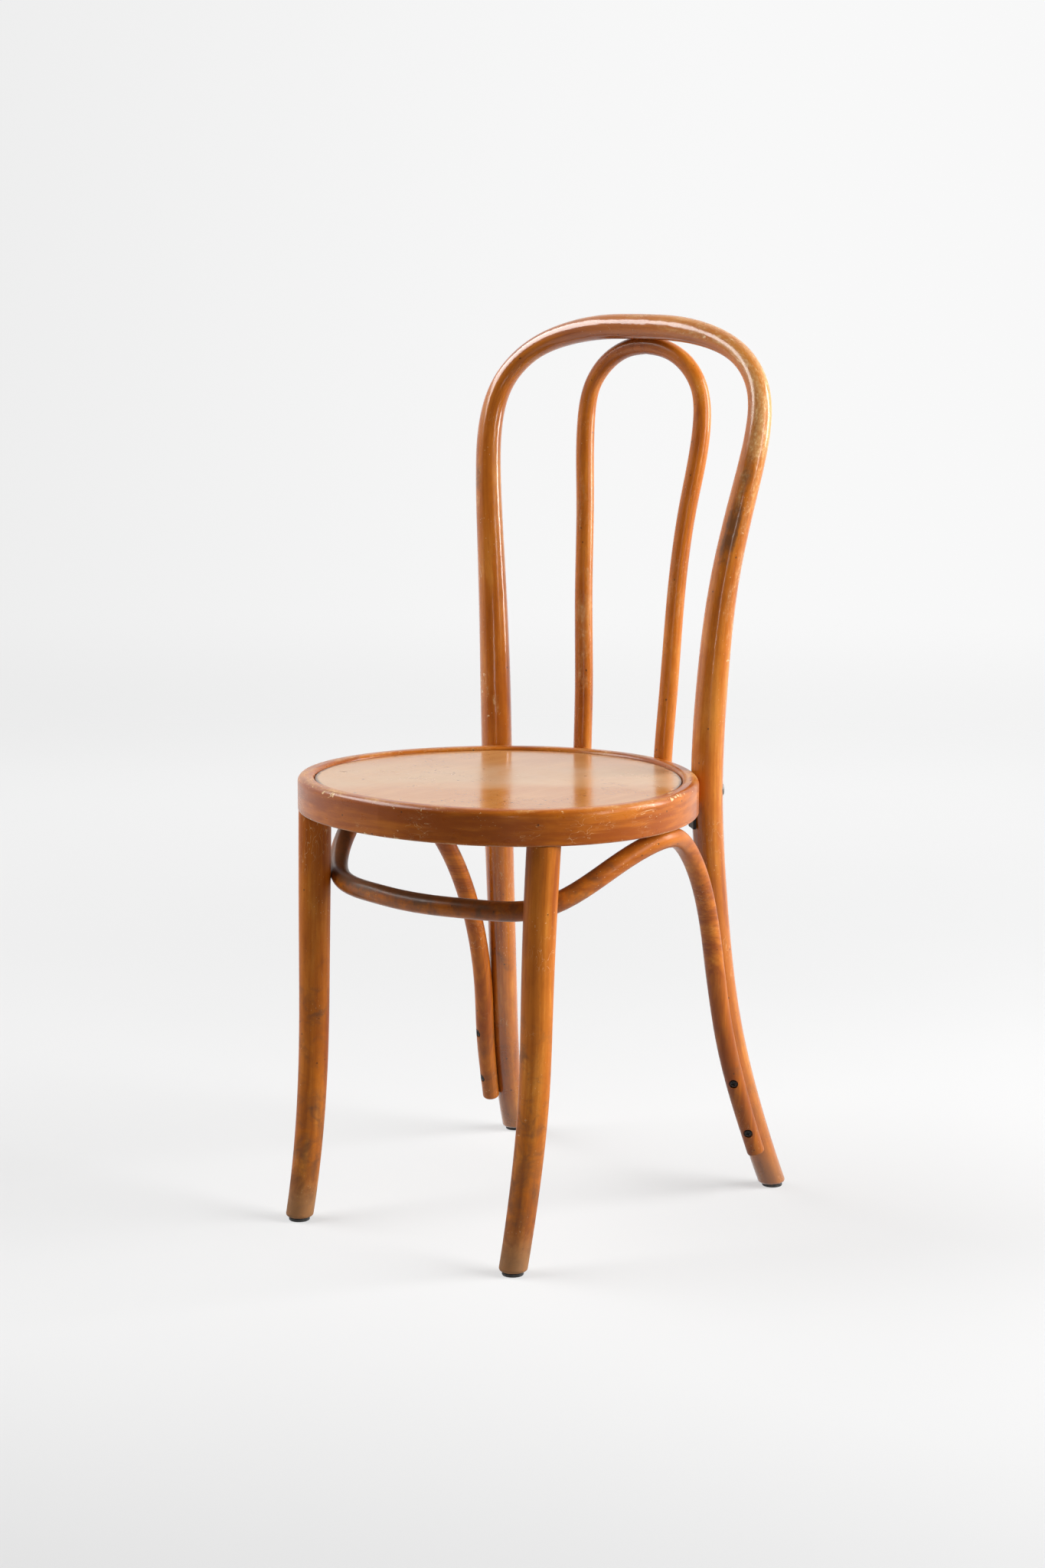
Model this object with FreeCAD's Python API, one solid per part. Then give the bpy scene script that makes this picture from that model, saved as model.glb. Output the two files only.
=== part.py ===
import FreeCAD, Part
import math
import os
from FreeCAD import Placement, Rotation, Vector

# Bentwood bistro chair: steam-bent round rods, a bent seat ring and a let-in plywood seat.
# Millimetres. +Z is up, the sitter faces -Y, +X is the sitter's left.
# The rods and the seat are laid out about the middle of the seat, and everything is moved
# along Y at the end so that the origin lies under the middle of the whole chair.
os.makedirs("parts", exist_ok=True)

# Clearances between neighbouring pieces
touch_gap = 0.25
hole_gap = 0.2
panel_gap = 0.5
crown_gap = 0.6

# Seat ring
seat_height = 460.0
seat_radius = 204.2
seat_oval = 0.018
seat_egg = 0.024
ring_height = 35.5
ring_width = 42.0
bead_width = 17.0
bead_outer_round = 6.5
bead_inner_round = 5.0
ring_foot_round = 2.0
ring_inner_round = 1.5
rebate_depth = 8.5
ring_points = 24
ring_bottom = seat_height - ring_height

# Seat panel
panel_thick = 5.0
panel_edge_round = 1.2
panel_top = seat_height - rebate_depth + touch_gap + panel_thick

# Back hoop: one rod makes both rear legs and the outer loop of the back.
# Sizes at the seat, then moves away from the seat for every other station.
rear_leg_angle = 140.2
rear_leg_let_in = 1.2
hoop_seat_dia = 33.2
hoop_foot_dia = 27.6
hoop_shin_dia = 28.8
hoop_knee_dia = 29.8
hoop_thigh_dia = 31.2
hoop_low_dia = 32.6
hoop_mid_dia = 29.6
hoop_high_dia = 27.4
hoop_side_dia = 26.0
hoop_shoulder_dia = 23.6
hoop_corner_dia = 22.6
hoop_arch_dia = 24.6
hoop_crown_dia = 26.4
crown_rise = 450.5
crown_back = 66.3

# Inner hoop
inner_low_dia = 19.8
inner_mid_dia = 19.2
inner_shoulder_dia = 18.0
inner_crown_dia = 18.6
inner_half_span = 50.6
inner_let_in = 1.0
inner_tail = 4.0
crown_contact_angle = 31.0

# Front legs
front_leg_angle = 50.0
front_leg_margin = 0.6
front_leg_top_dia = 33.6
front_leg_mid_dia = 31.9
front_leg_shin_dia = 30.6
front_leg_ankle_dia = 29.3
front_leg_foot_dia = 28.0
tenon_dia = 20.0
tenon_length = 20.0

# Leg brace: one bent rod. Its front bow has a station between the leg and the middle.
brace_dia = 20.2
brace_end_dia = 18.8
brace_end_height = 46.0
brace_wrap_angle = 24.0
brace_leg_angle = 38.0
brace_arch_height = 349.5
brace_leg_height = 356.0
brace_bow = 12.0
brace_top_inset = 15.6
brace_top_angle = 97.5
brace_top_clear = 0.5
brace_wrap_rise = 48.0
brace_bow_part = 0.51
brace_bow_set_back = 9.0
brace_bow_lift = 0.6

# Rounded rod ends; the rods are drawn a little long and then cut square
foot_round = 3.0
rod_end_round = 2.2
end_spare = 10.0

# Foot glides and their nails
glide_height = 4.0
glide_dia = 21.6
glide_round = 1.0
glide_floor = 1.4
nail_head_dia = 8.0
nail_head_thick = 1.2
nail_dia = 2.4
nail_length = 22.0

# Wood screws
screw_head_dia = 8.0
screw_head_thick = 2.6
screw_dia = 4.2
screw_tip = 5.0
screw_sink_dia = 9.8
slot_width = 1.1
slot_reach = 4.6
slot_depth = 1.4
brace_end_screw_length = 32.0
brace_leg_screw_length = 34.0
brace_top_screw_length = 36.0
crown_screw_length = 30.0
crown_screw_half_pitch = 11.0
inner_screw_length = 38.0
brace_screw_low = 77.0
brace_screw_high = 132.0
brace_sink = 3.2
crown_sink = 3.0
inner_sink = 3.0

# Bolts through the rear legs
bolt_dia = 7.0
bolt_head_dia = 15.0
bolt_head_thick = 3.6
bolt_spot_dia = 17.0
bolt_spot_depth = 3.0
bolt_drop = 22.0
bolt_tail = 9.0
washer_dia = 17.0
washer_thick = 1.5
washer_gap = 0.1
nut_flats = 12.0
nut_thick = 5.5
nut_seat_depth = 2.5

# Steel corner brackets under the ring, let into the rear legs
bracket_width = 20.0
bracket_thick = 3.0
bracket_drop = 26.0
bracket_reach = 34.0
bracket_let_in = 1.8
bracket_corner_round = 2.5
bracket_screw_length = 11.5
bracket_screw_head_thick = 2.0
bracket_screw_head_dia = 7.0
bracket_screw_drop = 15.0
bracket_screw_reach = 22.0

# Spacing of the cross-sections along a rod
hoop_pitch = 16.0
inner_pitch = 26.0
leg_pitch = 16.0
brace_pitch = 20.0
fewest_sections = 3
most_sections = 70

# Cutting tools reach this far past the piece that they cut
cutter_reach = 30.0
cutter_span = 1000.0

# Small reliefs
tenon_chamfer = 1.5
tenon_overlap = 2.0
bolt_chamfer = 0.8
nut_cone_clear = 0.2
nut_spot_clear = 0.5
screw_tip_radius = 0.4
nail_tip_radius = 0.3
same_place = 0.01

up = Vector(0, 0, 1)


def export(name, shape):
    shape.exportStep("parts/" + name + ".step")


def mirrored(shape):
    return shape.mirror(Vector(0, 0, 0), Vector(1, 0, 0))


def unit(vector):
    return vector * (1.0 / vector.Length)


def ring_out(angle, inset=0.0):
    """Point of the seat outline at an angle from the front, moved inward square to the edge."""
    turn = math.radians(angle)
    swell = 1.0 - seat_oval * math.cos(2 * turn) - seat_egg * math.cos(3 * turn)
    slope = 2 * seat_oval * math.sin(2 * turn) + 3 * seat_egg * math.sin(3 * turn)
    radial = Vector(math.sin(turn), -math.cos(turn), 0)
    across = Vector(math.cos(turn), math.sin(turn), 0)
    inward = unit(across * slope - radial * swell)
    return radial * (seat_radius * swell) + inward * inset, inward


def spline_through(points):
    marks = [0.0]
    for before, after in zip(points, points[1:]):
        marks.append(marks[-1] + (after - before).Length)
    curve = Part.BSplineCurve()
    curve.interpolate(Points=points, Parameters=marks)
    return curve, marks


class Rod:
    """A round rod along a smooth line, with its own diameter at every station."""

    def __init__(self, stations, pitch):
        self.pitch = pitch
        points = [point for point, dia in stations]
        self.line, self.marks = spline_through(points)
        sizes = [Vector(mark, dia / 2.0, 0) for mark, (point, dia) in zip(self.marks, stations)]
        self.size = Part.BSplineCurve()
        self.size.interpolate(Points=sizes, Parameters=self.marks)
        self.length = self.marks[-1]

    def at(self, mark):
        return self.line.value(mark)

    def heading(self, mark):
        return unit(self.line.tangent(mark)[0])

    def radius(self, mark):
        return self.size.value(mark).y

    def mark_at_height(self, height, low, high):
        rising = self.at(high).z > self.at(low).z
        for step in range(50):
            middle = (low + high) / 2.0
            if (self.at(middle).z < height) == rising:
                low = middle
            else:
                high = middle
        return (low + high) / 2.0

    def solid(self, start=None, finish=None, grow=0.0):
        start = 0.0 if start is None else start
        finish = self.length if finish is None else finish
        count = int(round(abs(finish - start) / self.pitch))
        count = min(most_sections, max(fewest_sections, count))
        side = None
        wires = []
        for number in range(count + 1):
            mark = start + (finish - start) * number / count
            heading = self.heading(mark)
            if side is None:
                side = Vector(0, 1, 0) if abs(heading.y) < 0.7 else Vector(1, 0, 0)
            side = unit(side - heading * side.dot(heading))
            other = heading.cross(side)
            circle = Part.makeCircle(self.radius(mark) + grow)
            circle.Placement = Placement(self.at(mark), Rotation(side, other, heading, "XYZ"))
            wires.append(Part.Wire([circle]))
        return Part.makeLoft(wires, True, False)


def both_sides(half):
    """Stations of the left half, foot first and middle last, made into a full symmetric rod."""
    other = [(Vector(-point.x, point.y, point.z), dia) for point, dia in half[:-1]]
    return half + other[::-1]


def cylinder(base, direction, radius, length):
    return Part.makeCylinder(radius, length, base, direction)


def aimed(shape, base, direction):
    shape.Placement = Placement(base, Rotation(up, direction))
    return shape


def wood_screw(base, direction, length, head_dia=screw_head_dia, head_thick=screw_head_thick):
    """Pan-head cross-slot screw; base is the underside of the head, the tip lies along direction."""
    radius = screw_dia / 2.0
    shank = Part.makeCylinder(radius, length - screw_tip)
    tip = Part.makeCone(radius, screw_tip_radius, screw_tip, Vector(0, 0, length - screw_tip))
    head = Part.makeCylinder(head_dia / 2.0, head_thick, Vector(0, 0, -head_thick))
    crown = [edge for edge in head.Edges if abs(edge.BoundBox.ZMax + head_thick) < same_place]
    head = head.makeFillet(head_thick * 0.5, crown)
    body = head.fuse([shank, tip]).removeSplitter()
    for turn in (0, 90):
        arm = Part.makeBox(slot_reach, slot_width, slot_depth)
        arm.translate(Vector(-slot_reach / 2.0, -slot_width / 2.0, -head_thick))
        arm.rotate(Vector(0, 0, 0), up, turn)
        body = body.cut(arm)
    return aimed(body, base, direction)


def screw_bore(base, direction, length, sink_dia=screw_sink_dia):
    """Hole for a wood screw with the recess for its head."""
    shank = Part.makeCylinder(screw_dia / 2.0 + hole_gap, length + hole_gap)
    recess = Part.makeCylinder(sink_dia / 2.0, cutter_reach, Vector(0, 0, washer_gap - cutter_reach))
    return aimed(shank.fuse(recess), base, direction)


# Centre lines of the rods. A station is its move away from where the rod meets the seat,
# its height and the rod's diameter there.

rear_out, rear_in = ring_out(rear_leg_angle)
rear_seat = rear_out - rear_in * (hoop_seat_dia / 2.0 + touch_gap - rear_leg_let_in)


def rear_station(out, back, height, dia):
    return (Vector(rear_seat.x + out, rear_seat.y + back, height), dia)


crown_centre = Vector(0, rear_seat.y + crown_back, seat_height + crown_rise)
hoop_half = [
    rear_station(37.9, 87.4, -end_spare, hoop_foot_dia),
    rear_station(24.4, 50.4, 0.196 * seat_height, hoop_shin_dia),
    rear_station(11.8, 28.0, 0.398 * seat_height, hoop_knee_dia),
    rear_station(2.6, 8.7, 0.709 * seat_height, hoop_thigh_dia),
    rear_station(0.0, 0.0, seat_height - ring_height / 2.0, hoop_seat_dia),
    rear_station(4.1, 1.0, seat_height + 0.200 * crown_rise, hoop_low_dia),
    rear_station(14.2, 7.0, seat_height + 0.444 * crown_rise, hoop_mid_dia),
    rear_station(28.9, 20.0, seat_height + 0.648 * crown_rise, hoop_high_dia),
    rear_station(34.4, 30.3, seat_height + 0.757 * crown_rise, hoop_side_dia),
    rear_station(27.6, 42.8, seat_height + 0.858 * crown_rise, hoop_shoulder_dia),
    rear_station(-1.4, 54.6, seat_height + 0.936 * crown_rise, hoop_corner_dia),
    rear_station(-45.4, 62.3, seat_height + 0.979 * crown_rise, hoop_arch_dia),
    rear_station(-92.4, 65.6, seat_height + 0.997 * crown_rise, hoop_crown_dia),
    (crown_centre, hoop_crown_dia),
]
hoop = Rod(both_sides(hoop_half), hoop_pitch)
hoop_seat_mark = hoop.marks[4]

ring_mid = (ring_bottom + seat_height) / 2.0
inner_angle = 180.0 - math.degrees(math.asin(inner_half_span / seat_radius))
inner_out, inner_in = ring_out(inner_angle)
inner_seat = inner_out - inner_in * (inner_low_dia / 2.0 + touch_gap - inner_let_in)
lean = math.radians(crown_contact_angle)
crown_spacing = (hoop_crown_dia + inner_crown_dia) / 2.0 + crown_gap
inner_crown = crown_centre + Vector(0, math.sin(lean), -math.cos(lean)) * crown_spacing
inner_drop = inner_crown.z - ring_mid


def inner_station(out, back, fraction, dia):
    height = ring_mid + fraction * inner_drop
    return (Vector(inner_seat.x + out, inner_seat.y + back, height), dia)


inner_half = [
    (Vector(inner_seat.x, inner_seat.y, ring_bottom - end_spare), inner_low_dia),
    (Vector(inner_seat.x, inner_seat.y, ring_mid), inner_low_dia),
    inner_station(2.4, 5.2, 0.174, inner_low_dia),
    inner_station(7.2, 10.0, 0.401, inner_mid_dia),
    inner_station(14.4, 21.1, 0.631, inner_mid_dia),
    inner_station(22.4, 32.3, 0.813, inner_mid_dia),
    inner_station(16.0, 36.0, 0.905, inner_shoulder_dia),
    inner_station(-12.0, 38.1, 0.975, inner_crown_dia),
    (inner_crown, inner_crown_dia),
]
inner = Rod(both_sides(inner_half), inner_pitch)

leg_inset = front_leg_top_dia / 2.0 + front_leg_margin
front_top = ring_out(front_leg_angle, leg_inset)[0]


def front_station(out, back, height, dia):
    return (Vector(front_top.x + out, front_top.y + back, height), dia)


front = Rod([
    front_station(-7.4, -40.7, -end_spare, front_leg_foot_dia),
    front_station(-5.8, -19.3, 0.207 * ring_bottom, front_leg_ankle_dia),
    front_station(-3.8, -9.3, 0.405 * ring_bottom, front_leg_shin_dia),
    front_station(-2.9, -5.8, 0.636 * ring_bottom, front_leg_mid_dia),
    front_station(0.0, 0.0, ring_bottom, front_leg_top_dia),
    front_station(0.3, 0.5, ring_bottom + end_spare, front_leg_top_dia),
], leg_pitch)


def beside_hoop(height, dia):
    """Centre of the brace where it lies along the front of a rear leg."""
    mark = hoop.mark_at_height(height, 0.0, hoop_seat_mark)
    wrap = math.radians(brace_wrap_angle)
    away = Vector(math.sin(wrap), -math.cos(wrap), 0)
    heading = hoop.heading(mark)
    away = unit(away - heading * away.dot(heading))
    return hoop.at(mark) + away * (hoop.radius(mark) + dia / 2.0 + touch_gap), away


def beside_front_leg():
    """Centre of the brace where it passes behind a front leg."""
    mark = front.mark_at_height(brace_leg_height, 0.0, front.length)
    turn = math.radians(brace_leg_angle)
    away = Vector(-math.sin(turn), math.cos(turn), 0)
    heading = front.heading(mark)
    away = unit(away - heading * away.dot(heading))
    return front.at(mark) + away * (front.radius(mark) + brace_dia / 2.0 + touch_gap), away


brace_top = ring_out(brace_top_angle, brace_top_inset)[0]
brace_top.z = ring_bottom - brace_dia / 2.0 - touch_gap - brace_top_clear
brace_leg, brace_leg_away = beside_front_leg()
arch_mark = front.mark_at_height(brace_arch_height, 0.0, front.length)
arch_middle = Vector(0, front.at(arch_mark).y - brace_bow, brace_arch_height)


def brace_station(out, back, drop, dia):
    return (brace_top + Vector(out, back, -drop), dia)


wrap_end = beside_hoop(brace_end_height - end_spare, brace_end_dia)[0]
wrap_low, wrap_low_away = beside_hoop(brace_screw_low, brace_end_dia)
wrap_high, wrap_high_away = beside_hoop(brace_screw_high, brace_dia)
wrap_top = beside_hoop(brace_screw_high + brace_wrap_rise, brace_dia)[0]
bow_side = Vector(brace_bow_part * brace_leg.x, brace_bow_set_back, brace_bow_lift)
brace_half = [
    (wrap_end, brace_end_dia),
    (wrap_low, brace_end_dia),
    (wrap_high, brace_dia),
    (wrap_top, brace_dia),
    brace_station(-25.8, 116.2, 114.0, brace_dia),
    brace_station(-19.4, 86.5, 56.1, brace_dia),
    brace_station(-8.7, 39.5, 11.2, brace_dia),
    (brace_top, brace_dia),
    brace_station(-11.7, -51.5, 14.3, brace_dia),
    (brace_leg, brace_dia),
    (arch_middle + bow_side, brace_dia),
    (arch_middle, brace_dia),
]
brace = Rod(both_sides(brace_half), brace_pitch)

# Fasteners and their holes on the left side. The right side is its mirror image.

bores = {"hoop": [], "inner": [], "ring": [], "front": [], "brace": []}


def add_bore(tool, *names):
    for name in names:
        bores[name].append(tool)
        bores[name].append(mirrored(tool))


def pair(shape):
    return [shape, mirrored(shape)]


end_screws = []
end_places = [(wrap_low, wrap_low_away, brace_end_dia), (wrap_high, wrap_high_away, brace_dia)]
for centre, away, dia in end_places:
    seat = centre + away * (dia / 2.0 - brace_sink)
    end_screws += pair(wood_screw(seat, away * -1.0, brace_end_screw_length))
    add_bore(screw_bore(seat, away * -1.0, brace_end_screw_length), "brace", "hoop")

seat = brace_leg + brace_leg_away * (brace_dia / 2.0 - brace_sink)
leg_screws = pair(wood_screw(seat, brace_leg_away * -1.0, brace_leg_screw_length))
add_bore(screw_bore(seat, brace_leg_away * -1.0, brace_leg_screw_length), "brace", "front")

seat = brace_top - up * (brace_dia / 2.0 - brace_sink)
top_screws = pair(wood_screw(seat, up, brace_top_screw_length))
add_bore(screw_bore(seat, up, brace_top_screw_length), "brace", "ring")

rise = Vector(0, -math.sin(lean), math.cos(lean))
seat = inner_crown - rise * (inner_crown_dia / 2.0 - crown_sink)
seat = seat + Vector(crown_screw_half_pitch, 0, 0)
crown_screws = pair(wood_screw(seat, rise, crown_screw_length))
add_bore(screw_bore(seat, rise, crown_screw_length), "inner", "hoop")

seat = Vector(inner_seat.x, inner_seat.y, ring_mid) - inner_in * (inner_low_dia / 2.0 - inner_sink)
inner_screws = pair(wood_screw(seat, inner_in, inner_screw_length))
add_bore(screw_bore(seat, inner_in, inner_screw_length), "inner", "ring")

bolt_height = seat_height - bolt_drop
bolt_centre = hoop.at(hoop.mark_at_height(bolt_height, 0.0, hoop.marks[5]))
bolt_seat = bolt_centre - rear_in * (hoop_seat_dia / 2.0 - bolt_spot_depth)
ring_inner_reach = (rear_out + rear_in * ring_width - bolt_centre).dot(rear_in)
bolt_grip = ring_inner_reach + hoop_seat_dia / 2.0 - bolt_spot_depth - nut_seat_depth
bolt_head = Part.makeCylinder(bolt_head_dia / 2.0, bolt_head_thick, Vector(0, 0, -bolt_head_thick))
bolt_rim = [edge for edge in bolt_head.Edges if abs(edge.BoundBox.ZMax + bolt_head_thick) < same_place]
bolt_head = bolt_head.makeFillet(bolt_head_thick * 0.8, bolt_rim)
bolt_length = bolt_grip + bolt_tail
bolt_shank = Part.makeCylinder(bolt_dia / 2.0, bolt_length)
bolt_end = [edge for edge in bolt_shank.Edges if abs(edge.BoundBox.ZMin - bolt_length) < same_place]
bolt_shank = bolt_shank.makeChamfer(bolt_chamfer, bolt_end)
bolt = bolt_head.fuse(bolt_shank).removeSplitter()
bolts = pair(aimed(bolt, bolt_seat - rear_in * washer_gap, rear_in))
bolt_bore = Part.makeCylinder(bolt_dia / 2.0 + hole_gap, bolt_length + cutter_reach)
bolt_spot = Part.makeCylinder(bolt_spot_dia / 2.0, cutter_reach, Vector(0, 0, -cutter_reach))
spot_tool = aimed(bolt_bore.fuse(bolt_spot), bolt_seat, rear_in)
add_bore(spot_tool, "hoop")
nut_spot = Part.makeCylinder(washer_dia / 2.0 + nut_spot_clear, cutter_reach, Vector(0, 0, bolt_grip))
add_bore(aimed(bolt_bore.fuse(nut_spot), bolt_seat, rear_in), "ring")

washer = Part.makeCylinder(washer_dia / 2.0, washer_thick)
washer = washer.cut(Part.makeCylinder(bolt_dia / 2.0 + hole_gap, washer_thick))
washers = pair(aimed(washer, bolt_seat + rear_in * (bolt_grip + washer_gap), rear_in))
nut_reach = nut_flats / math.sqrt(3.0)
nut_corners = []
for corner in range(7):
    turn = math.radians(60 * corner)
    nut_corners.append(Vector(nut_reach * math.cos(turn), nut_reach * math.sin(turn), 0))
nut_wire = Part.makePolygon(nut_corners)
nut = Part.Face(nut_wire).extrude(Vector(0, 0, nut_thick))
nut_cone = Part.makeCone(nut_flats * 0.8, nut_flats / 2.0 + nut_cone_clear, nut_thick * 1.2)
nut = nut.common(nut_cone)
nut = nut.cut(Part.makeCylinder(bolt_dia / 2.0 + hole_gap / 2.0, nut_thick))
nut_seat = bolt_seat + rear_in * (bolt_grip + washer_thick + 2 * washer_gap)
nuts = pair(aimed(nut, nut_seat, rear_in))

# Corner brackets, drawn with their own X pointing from the rear leg to the seat centre.

bracket_top = ring_bottom - touch_gap
bracket_mark = hoop.mark_at_height(bracket_top - bracket_drop / 2.0, 0.0, hoop_seat_mark)
leg_there = hoop.at(bracket_mark)
leg_face = leg_there + rear_in * (hoop.radius(bracket_mark) - bracket_let_in)
bracket_base = Vector(leg_face.x, leg_face.y, bracket_top)
bracket_turn = Rotation(rear_in, up.cross(rear_in), up, "XYZ")


def bracket_plate(grow):
    upright = Part.makeBox(
        bracket_thick + 2 * grow,
        bracket_width + 2 * grow,
        bracket_drop + 2 * grow,
        Vector(-grow, -bracket_width / 2.0 - grow, -bracket_drop - grow),
    )
    flat = Part.makeBox(
        bracket_reach + 2 * grow,
        bracket_width + 2 * grow,
        bracket_thick + 2 * grow,
        Vector(-grow, -bracket_width / 2.0 - grow, -bracket_thick - grow),
    )
    return upright, flat


upright, flat = bracket_plate(0.0)
bracket = upright.fuse(flat).removeSplitter()
inside = [
    edge for edge in bracket.Edges
    if abs(edge.BoundBox.XMin - bracket_thick) < same_place
    and abs(edge.BoundBox.XMax - bracket_thick) < same_place
    and abs(edge.BoundBox.ZMin + bracket_thick) < same_place
    and abs(edge.BoundBox.ZMax + bracket_thick) < same_place
]
bracket = bracket.makeFillet(bracket_corner_round, inside)
low_hole = Vector(0, 0, -bracket_screw_drop)
far_hole = Vector(bracket_screw_reach, 0, 0)
hole_radius = screw_dia / 2.0 + hole_gap
side_start = low_hole - Vector(bracket_thick, 0, 0)
up_start = far_hole - up * (2 * bracket_thick)
bracket = bracket.cut(cylinder(side_start, Vector(1, 0, 0), hole_radius, 3 * bracket_thick))
bracket = bracket.cut(cylinder(up_start, up, hole_radius, 3 * bracket_thick))
bracket.Placement = Placement(bracket_base, bracket_turn)
pocket, pocket_flat = bracket_plate(touch_gap)
pocket.Placement = Placement(bracket_base, bracket_turn)
add_bore(pocket, "hoop")

leg_point = bracket_base + bracket_turn.multVec(low_hole + Vector(bracket_thick + washer_gap, 0, 0))
ring_point = bracket_base + bracket_turn.multVec(far_hole - Vector(0, 0, bracket_thick + washer_gap))
bracket_screws = []
for point, direction, name in ((leg_point, rear_in * -1.0, "hoop"), (ring_point, up, "ring")):
    screw = wood_screw(
        point, direction, bracket_screw_length, bracket_screw_head_dia, bracket_screw_head_thick
    )
    bracket_screws += pair(screw)
    add_bore(cylinder(point, direction, hole_radius, bracket_screw_length + hole_gap), name)

# Cutting the bent pieces to their joints.


def drilled(shape, tools):
    for tool in tools:
        shape = shape.cut(tool)
    return shape


def below(height):
    corner = Vector(-cutter_span / 2.0, -cutter_span / 2.0, height - cutter_span)
    return Part.makeBox(cutter_span, cutter_span, cutter_span, corner)


def above(height):
    corner = Vector(-cutter_span / 2.0, -cutter_span / 2.0, height)
    return Part.makeBox(cutter_span, cutter_span, cutter_span, corner)


def rounded_at(shape, height, radius):
    rims = [
        edge for edge in shape.Edges
        if abs(edge.BoundBox.ZMin - height) < same_place
        and abs(edge.BoundBox.ZMax - height) < same_place
    ]
    return shape.makeFillet(radius, rims)


def foot_nail(centre):
    seat = centre + up * (glide_floor + washer_gap)
    length = nail_length - washer_gap
    head = Part.makeCylinder(nail_head_dia / 2.0, nail_head_thick, seat)
    shank = Part.makeCylinder(nail_dia / 2.0, length - screw_tip, seat)
    tip_seat = seat + up * (length - screw_tip)
    point = Part.makeCone(nail_dia / 2.0, nail_tip_radius, screw_tip, tip_seat)
    return head.fuse(shank).fuse(point).removeSplitter()


def foot_glide(centre):
    body = Part.makeCylinder(glide_dia / 2.0, glide_height - touch_gap, centre)
    rims = [edge for edge in body.Edges if edge.BoundBox.ZLength < same_place]
    body = body.makeFillet(glide_round, rims)
    head_room = nail_head_thick + 3 * washer_gap
    floor = centre + up * glide_floor
    body = body.cut(Part.makeCylinder(nail_head_dia / 2.0 + hole_gap, head_room, floor))
    return body.cut(Part.makeCylinder(nail_dia / 2.0 + hole_gap, glide_height, floor))


def nail_bore(centre):
    return Part.makeCylinder(nail_dia / 2.0 + hole_gap, nail_length + glide_height, centre)


rear_foot = hoop.at(hoop.mark_at_height(glide_height, 0.0, hoop_seat_mark))
rear_foot.z = 0
front_foot = front.at(front.mark_at_height(glide_height, 0.0, front.length))
front_foot.z = 0

hoop_side = hoop.solid(hoop.length / 2.0, 0.0).cut(below(glide_height))
hoop_side = rounded_at(hoop_side, glide_height, foot_round)
hoop_solid = drilled(hoop_side.fuse(mirrored(hoop_side)), bores["hoop"] + pair(nail_bore(rear_foot)))

inner_side = inner.solid(inner.length / 2.0, 0.0).cut(below(ring_bottom + inner_tail))
inner_side = rounded_at(inner_side, ring_bottom + inner_tail, rod_end_round)
inner_solid = drilled(inner_side.fuse(mirrored(inner_side)), bores["inner"])

front_solid = drilled(
    front.solid(front.length, 0.0), [below(glide_height), above(ring_bottom - touch_gap)]
)
front_solid = rounded_at(front_solid, glide_height, foot_round)
tenon_start = Vector(front_top.x, front_top.y, ring_bottom - tenon_overlap)
tenon_top = ring_bottom + tenon_length
tenon = cylinder(tenon_start, up, tenon_dia / 2.0, tenon_length + tenon_overlap)
tenon_rim = [edge for edge in tenon.Edges if abs(edge.BoundBox.ZMin - tenon_top) < same_place]
tenon = tenon.makeChamfer(tenon_chamfer, tenon_rim)
front_solid = front_solid.fuse(tenon).removeSplitter()
front_solid = drilled(front_solid, [bores["front"][0], nail_bore(front_foot)])

end_mark = brace.mark_at_height(brace_end_height, 0.0, brace.marks[4])
end_point = brace.at(end_mark)
brace_side = brace.solid(brace.length / 2.0, end_mark)
brace_ends = [
    edge for edge in brace_side.Edges
    if edge.BoundBox.DiagonalLength < 2.0 * brace_end_dia
    and (edge.BoundBox.Center - end_point).Length < brace_end_dia / 2.0
]
brace_side = brace_side.makeFillet(rod_end_round, brace_ends)
brace_solid = drilled(brace_side.fuse(mirrored(brace_side)), bores["brace"])


def outline_face(inset, height):
    points = []
    for number in range(ring_points):
        point, inward = ring_out(360.0 * number / ring_points, inset)
        points.append(Vector(point.x, point.y, height))
    curve = Part.BSplineCurve()
    curve.interpolate(Points=points, PeriodicFlag=True)
    return Part.Face(Part.Wire([curve.toShape()]))


def slab(inset, low, high):
    return outline_face(inset, low).extrude(Vector(0, 0, high - low))


def rim_edges(shape, height, reach):
    """Level edges of a slab at one height whose half width is larger or smaller than a limit."""
    found = []
    for edge in shape.Edges:
        box = edge.BoundBox
        if abs(box.ZMin - height) < same_place and abs(box.ZMax - height) < same_place:
            if reach(box.XMax):
                found.append(edge)
    return found


ring = slab(0.0, ring_bottom, seat_height)
ring = ring.cut(slab(ring_width, ring_bottom - cutter_reach, seat_height + cutter_reach))
ring = ring.cut(slab(bead_width, seat_height - rebate_depth, seat_height + cutter_reach))
bead_limit = seat_radius - bead_width / 2.0
ring = ring.makeFillet(bead_outer_round, rim_edges(ring, seat_height, lambda x: x > bead_limit))
ring = ring.makeFillet(bead_inner_round, rim_edges(ring, seat_height, lambda x: x < bead_limit))
ring = ring.makeFillet(ring_foot_round, rim_edges(ring, ring_bottom, lambda x: x > bead_limit))
ring = ring.makeFillet(ring_inner_round, rim_edges(ring, ring_bottom, lambda x: x < bead_limit))
rear_reach = hoop.mark_at_height(ring_bottom - end_spare, 0.0, hoop.marks[5])
rear_until = hoop.mark_at_height(seat_height + end_spare, 0.0, hoop.marks[5])
rear_hollow = hoop.solid(rear_reach, rear_until, touch_gap)
inner_until = inner.mark_at_height(seat_height + end_spare, 0.0, inner.marks[4])
inner_hollow = inner.solid(0.0, inner_until, touch_gap)
tenon_room = tenon_length + tenon_overlap + 4 * hole_gap
tenon_hole = cylinder(tenon_start, up, tenon_dia / 2.0 + hole_gap, tenon_room)
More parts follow.
